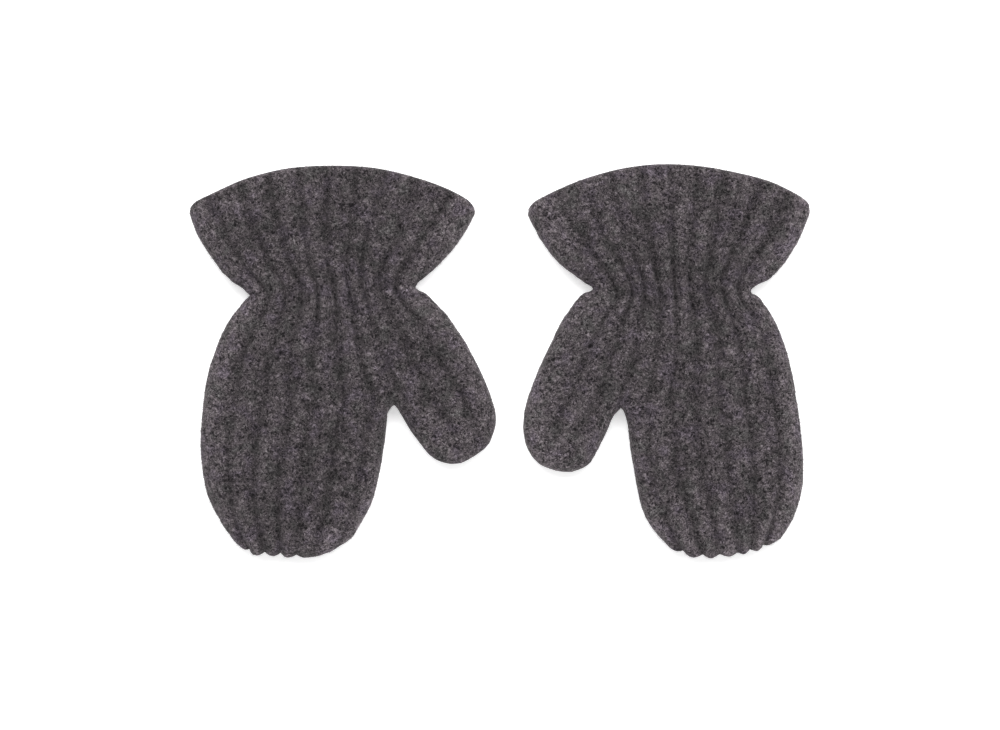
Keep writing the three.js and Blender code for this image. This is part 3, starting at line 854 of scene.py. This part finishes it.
def elastic(name, shape, is_palm, webbing):
    """Flat woven elastic along the wrist. It follows the gathered inner face of the cloth, and its
    cross-section is a flat bar with rounded edges."""
    a, b = shape.wrist
    run, down = unit(b - a), -shape.to_mouth
    s = np.linspace(*ELASTIC_SHARE, rows_for(WRIST_WIDTH) + 1)
    w = np.linspace(ELASTIC_NEAR, ELASTIC_FAR, rows_for(ELASTIC_FAR - ELASTIC_NEAR) + 1)
    start = a + (down - WRIST_FLARE * run) * w[:, None]
    stop = b + (down + WRIST_FLARE * run) * w[:, None]
    made = Patch(shape, start[:, None] + (stop - start)[:, None] * s[None, :, None]).cloth(is_palm)
    middle = made["inner"][..., 2] - ELASTIC_CLEAR - ELASTIC_THICK / 2
    rounding = np.sqrt(np.clip(1 - np.abs(np.linspace(-1, 1, len(w))) ** 6, 0, 1))[:, None]
    cord = CORD_HIGH * np.abs(np.sin(math.pi * w / CORD_WIDE))[:, None]
    faces = []
    for away in (1, -1):
        face = made["inner"].copy()
        face[..., 2] = middle + away * rounding * (ELASTIC_THICK / 2 - cord)
        faces.append(upright(face, is_palm))
    top, bottom = faces
    surface = Surface()
    surface.grid(top, 1.0)
    surface.grid(bottom, 1.0)
    for side in (0, -1):
        surface.loop(np.vstack([top[:, side], bottom[-2:0:-1, side]]))
    return surface.mesh(name, webbing, SEWN_SHARP)


def ridge(name, line, side, yarn):
    """Overcast seam allowance inside a stretch of outline. side is 1 or -1 for the side of the
    line on which the cloth lies."""
    count = max(8, int(lengths(line)[-1] / RIDGE_STEP[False]))
    points = resample(line, np.linspace(0, 1, count))
    step = unit(np.gradient(points, axis=0))
    inset = points + RIDGE_INSET * side * np.column_stack([-step[:, 1], step[:, 0]])
    surface = Surface()
    tube(surface, np.column_stack([inset, np.full(count, MID)]), RIDGE_WIDE, RIDGE_HIGH, 14,
         OVERCAST_BULGE, OVERCAST)
    return surface.mesh(name, yarn, SEWN_SHARP)


RIDGES = (
    # node, edges, side for a left mitten, clear lengths at the two ends, body
    ("cuff_outer_seam", ("outer_cuff",), 1, 4.5, 7.5, "cuff"),
    ("cuff_thumb_side_seam", ("thumb_cuff",), -1, 4.5, 7.5, "cuff"),
    ("hand_outer_seam", ("outer_hand",), 1, 4.0, 3.5, "hand"),
    ("hand_thumb_side_seam", ("thumb_hand",), -1, 4.0, 3.0, "hand"),
    ("finger_seam", ("outer_finger", "fingertip"), 1, 4.8, 3.0, "fingers"),
    ("finger_inner_seam", ("inner_finger",), -1, 4.8, 7.0, "fingers"),
    ("thumb_outer_seam", ("outer_thumb",), -1, 5.5, 2.5, "thumb"),
    ("thumb_inner_seam", ("inner_thumb",), 1, 6.0, 5.0, "thumb"),
)


def sewn_in(piece, side, body, node):
    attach(piece, f"{side}_{body}")
    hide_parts(f"{side}_{node}")


def inner_parts(side, shape, cuff, yarn, webbing):
    """Everything that is sewn to the inside of one mitten."""
    for face in ("palm", "back"):
        thread = hem_thread(f"{side}_{face}_hem_catch_stitch", cuff, face == "palm", yarn)
        sewn_in(thread, side, "cuff", f"hem_thread_{face}")
        band = elastic(f"{side}_{face}_wrist_elastic_band", shape, face == "palm", webbing)
        sewn_in(band, side, "hand", f"wrist_elastic_{face}")
    for node, edges, turn, near, far, body in RIDGES:
        line = join(*(shape.edge[edge] for edge in edges))
        line = cut(line, near, lengths(line)[-1] - far)
        piece = ridge(f"{side}_{node}_overcast", line, turn if side == "left" else -turn, yarn)
        sewn_in(piece, side, body, node)


# ---- materials ----
def linear(hex_colour):
    """A colour written as sRGB hex, as the linear RGBA that the shader takes."""
    parts = [int(hex_colour[i:i + 2], 16) / 255 for i in (1, 3, 5)]
    return [c / 12.92 if c <= 0.04045 else ((c + 0.055) / 1.055) ** 2.4 for c in parts] + [1.0]


def add(tree, kind, settings=None):
    """Adds a node. A setting is an attribute of the node or one of its inputs, and an input is set
    to a value or linked to another node's output."""
    node = tree.nodes.new(kind)
    for name, value in (settings or {}).items():
        if isinstance(value, bpy.types.NodeSocket):
            tree.links.new(value, node.inputs[name])
        elif isinstance(name, str) and hasattr(node, name):
            setattr(node, name, value)
        else:
            node.inputs[name].default_value = value
    return node


def new_material(name):
    material = bpy.data.materials.new(name)
    material.use_nodes = True
    tree = material.node_tree
    tree.nodes.clear()
    return material, tree


def scaled(tree, vector, factor):
    return add(tree, "ShaderNodeVectorMath", {"operation": "SCALE", 0: vector, "Scale": factor}).outputs[0]


def millimetres(tree):
    """Object coordinates in mm."""
    place = add(tree, "ShaderNodeTexCoord").outputs["Object"]
    return scaled(tree, place, 1 / MM)


def maths(tree, operation, *inputs):
    """Output of a Math node on numbers and other outputs."""
    return add(tree, "ShaderNodeMath", {"operation": operation, **dict(enumerate(inputs))}).outputs[0]


def coat(tree, settings, bump=None):
    """The material's surface. bump is (height, strength, depth in m)."""
    if bump:
        height, strength, depth = bump
        bumped = add(tree, "ShaderNodeBump", {"Strength": strength, "Distance": depth, "Height": height})
        settings = {**settings, "Normal": bumped.outputs["Normal"]}
    shader = add(tree, "ShaderNodeBsdfPrincipled", settings)
    add(tree, "ShaderNodeOutputMaterial", {"Surface": shader.outputs[0]})


def ramp(tree, source, stops, interpolation="LINEAR"):
    """A colour ramp with stops [(place, hex colour or grey value)]."""
    node = add(tree, "ShaderNodeValToRGB", {"Fac": source})
    node.color_ramp.interpolation = interpolation
    elements = node.color_ramp.elements
    while len(elements) > 1:
        elements.remove(elements[-1])
    for i, (place, colour) in enumerate(stops):
        stop = elements[0] if i == 0 else elements.new(place)
        stop.position = place
        stop.color = linear(colour) if isinstance(colour, str) else [colour, colour, colour, 1]
    return node.outputs["Color"]


def noise(tree, place, scale, detail, roughness, distortion=0.0):
    """Value of a noise texture whose features are about 1 / scale mm across."""
    return add(tree, "ShaderNodeTexNoise", {"Vector": place, "Scale": scale, "Detail": detail,
                                            "Roughness": roughness, "Distortion": distortion}).outputs["Fac"]


def thin_lines(tree, value, half_width):
    """1 on the curved lines where a noise passes through its middle value, 0 away from them."""
    from_middle = maths(tree, "ABSOLUTE", maths(tree, "SUBTRACT", value, 0.5))
    return ramp(tree, from_middle, [(0.0, 1.0), (0.4 * half_width, 0.75), (half_width, 0.0)], "EASE")


def mixed(tree, under, colour, mask=1.0, kind="MULTIPLY"):
    """A colour mixed into another, all over or as far as the mask says."""
    return add(tree, "ShaderNodeMix", {"data_type": "RGBA", "blend_type": kind, 0: mask, 6: under,
                                       7: colour}).outputs[2]


def averaged(tree, first, second, share):
    return add(tree, "ShaderNodeMix", {"data_type": "FLOAT", 0: share, 2: first, 3: second}).outputs[0]


def felted_wool():
    """Felted melange wool, carded from light and dark fibres and milled until the stitches close:
    a dull, dry face of short tangled fibres with no gloss and a faint halo of nap."""
    material, tree = new_material("felted_charcoal_melange_wool")
    mm = millimetres(tree)
    # fibres curl, so everything fine is looked up at a place that is pushed about a little
    push = add(tree, "ShaderNodeTexNoise", {"Scale": 0.55, "Detail": 2.0, "Roughness": 0.6, "Vector": mm})
    curl = add(tree, "ShaderNodeVectorMath", {"operation": "MULTIPLY_ADD", 0: push.outputs["Color"],
                                              1: (1.6, 1.6, 1.6), 2: mm}).outputs[0]
    # single fibres are 0.02 mm thick: they are drawn as tufts 0.2 to 0.4 mm wide so that they show
    fine = noise(tree, curl, 1.05, 3.0, 0.62, 0.6)
    tufts = averaged(tree, fine, noise(tree, mm, 0.40, 2.0, 0.55), 0.3)
    colour = ramp(tree, tufts, [(0.395, "#0c0a0c"), (0.454, "#232022"), (0.50, "#393538"),
                                (0.546, "#585356"), (0.614, "#8f898c")])
    light_strand = thin_lines(tree, noise(tree, curl, 0.7, 1.0, 0.5, 1.2), 0.13)
    moved = add(tree, "ShaderNodeVectorMath", {"operation": "ADD", 0: curl, 1: (31.0, 17.0, 5.0)})
    dark_strand = thin_lines(tree, noise(tree, moved.outputs[0], 0.8, 1.0, 0.5, 1.2), 0.11)
    for strand, weight, dye in ((light_strand, 0.70, "#7a7476"), (dark_strand, 0.74, "#151215")):
        colour = mixed(tree, colour, linear(dye), maths(tree, "MULTIPLY", strand, weight), "MIX")
    # the dyes of the carded fibres drift over some millimetres
    colour = mixed(tree, colour, ramp(tree, noise(tree, mm, 0.14, 2.0, 0.6),
                                      [(0.36, "#d9dcd9"), (0.45, "#ebe8e9"), (0.54, "#f6f1f5"),
                                       (0.64, "#efe8f5")]))
    colour = mixed(tree, colour, ramp(tree, noise(tree, mm, 0.055, 1.0, 0.5),
                                      [(0.36, 0.80), (0.5, 0.9), (0.64, 1.0)]))
    tone = add(tree, "ShaderNodeAttribute", {"attribute_name": "tone"}).outputs["Fac"]
    colour = scaled(tree, colour, tone)
    height = maths(tree, "MULTIPLY_ADD", light_strand, 0.35, fine)
    coat(tree, {"Roughness": 0.95, "Specular IOR Level": 0.15, "Sheen Weight": 0.3, "Sheen Roughness": 0.5,
                "Sheen Tint": linear("#b5b0b2"), "Base Color": colour}, (height, 0.75, 0.00045))
    return material


def wool_yarn():
    """Two-ply wool sewing yarn in charcoal: matt, with short fibres that lie along the plies."""
    material, tree = new_material("charcoal_wool_sewing_yarn")
    fibre = noise(tree, millimetres(tree), 2.6, 2.0, 0.6, 1.5)
    colour = ramp(tree, fibre, [(0.36, "#151315"), (0.5, "#2b282a"), (0.64, "#565154")])
    coat(tree, {"Roughness": 0.9, "Specular IOR Level": 0.2, "Sheen Weight": 0.25, "Sheen Roughness": 0.5,
                "Base Color": colour}, (fibre, 0.7, 0.0002))
    return material


def woven_elastic():
    """Black woven elastic webbing: covered rubber cords with fine cross threads over them."""
    material, tree = new_material("black_woven_elastic")
    mm = millimetres(tree)
    threads = add(tree, "ShaderNodeTexWave", {"bands_direction": "X", "Scale": 0.55, "Distortion": 0.6,
                                              "Detail": 1.0, "Detail Scale": 2.0, "Vector": mm})
    weave = averaged(tree, threads.outputs["Fac"], noise(tree, mm, 2.2, 2.0, 0.6, 0.4), 0.5)
    colour = ramp(tree, weave, [(0.2, "#0f0f11"), (0.55, "#222225"), (0.85, "#3d3c41")])
    coat(tree, {"Roughness": 0.72, "Specular IOR Level": 0.35, "Base Color": colour}, (weave, 0.6, 0.00015))
    return material


def paper_floor():
    """Matt white card, lit a little from below as on a light table."""
    material, tree = new_material("matt_white_card")
    coat(tree, {"Base Color": linear("#fbfbfb"), "Roughness": 0.9, "Specular IOR Level": 0.0,
                "Emission Color": linear("#ffffff"), "Emission Strength": CARD_GLOW})
    return material


# ---- building the pair ----
LENGTH_NODES = {
    "cuff": ("cuff_{face}", "cuff_hem_{face}"),
    "hand": ("hand_{face}", "thumb_{face}"),
    "fingers": ("finger_{face}",),
}


def make_mitten(side, points, seed, wool, yarn, webbing):
    shape = Shape(points, seed)
    draw = np.random.default_rng(seed)
    patches, runs, ends = lay_out(shape)
    for face in ("palm", "back"):
        for length, group in patches.items():
            piece = cloth_piece(f"{side}_{face}_{length}_cloth", group, face == "palm", runs[length],
                                ends[length], draw, wool)
            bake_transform(piece)
            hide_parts(*(f"{side}_{node.format(face=face)}" for node in LENGTH_NODES[length]))
    inner_parts(side, shape, patches["cuff"][0], yarn, webbing)


# ---- studio ----
CARD_GLOW = 0.47
TENT_LIGHT = 1.36
TENT_SIDE = 0.4        # the tent is this much brighter at its +X wall, and darker at the other
SOFTBOX_WATTS = 15.0
VIEW_WIDTH = 0.36
VIEW_MIDDLE_Y = -0.0015


def studio():
    """White card inside a light tent, which is brighter low down than overhead and brighter on
    one side, and one large soft light beyond the cuffs."""
    bpy.ops.mesh.primitive_grid_add(x_subdivisions=2, y_subdivisions=2, size=4)
    floor = bpy.context.object
    floor.name = "floor"
    floor.data.materials.append(paper_floor())
    world = bpy.data.worlds.new("light_tent")
    bpy.context.scene.world = world
    world.use_nodes = True
    tree = world.node_tree
    tree.nodes.clear()
    ray = add(tree, "ShaderNodeNewGeometry").outputs["Incoming"]
    ray_parts = add(tree, "ShaderNodeSeparateXYZ", {0: ray}).outputs
    steep = maths(tree, "ABSOLUTE", ray_parts["Z"])
    tent = ramp(tree, steep, [(0.0, 1.0), (0.35, 0.9), (0.8, 0.36), (1.0, 0.22)])
    strength = maths(tree, "MULTIPLY_ADD", ray_parts["X"], -TENT_SIDE * TENT_LIGHT, TENT_LIGHT)
    glow = add(tree, "ShaderNodeBackground", {"Color": tent, "Strength": strength})
    add(tree, "ShaderNodeOutputWorld", {"Surface": glow.outputs[0]})
    lamp = bpy.data.lights.new("overhead_softbox", "AREA")
    lamp.shape = "RECTANGLE"
    lamp.size, lamp.size_y = 1.0, 0.7
    lamp.energy = SOFTBOX_WATTS
    softbox = bpy.data.objects.new("overhead_softbox", lamp)
    softbox.location = (0, 0.55, 1.0)
    softbox.rotation_euler = (math.radians(-28), 0, 0)
    bpy.context.scene.collection.objects.link(softbox)


def camera():
    """Straight down, far off, so that the view is nearly flat."""
    data = bpy.data.cameras.new("camera")
    data.sensor_width = 36
    data.lens = 100
    data.clip_end = 10
    lookout = bpy.data.objects.new("camera", data)
    lookout.location = (0, VIEW_MIDDLE_Y, MID * MM + VIEW_WIDTH * data.lens / data.sensor_width)
    bpy.context.scene.collection.objects.link(lookout)
    bpy.context.scene.camera = lookout
    bpy.context.scene.view_settings.view_transform = "Standard"


materials = felted_wool(), wool_yarn(), woven_elastic()
make_mitten("left", LEFT, 11, *materials)
make_mitten("right", RIGHT, 47, *materials)
studio()
camera()
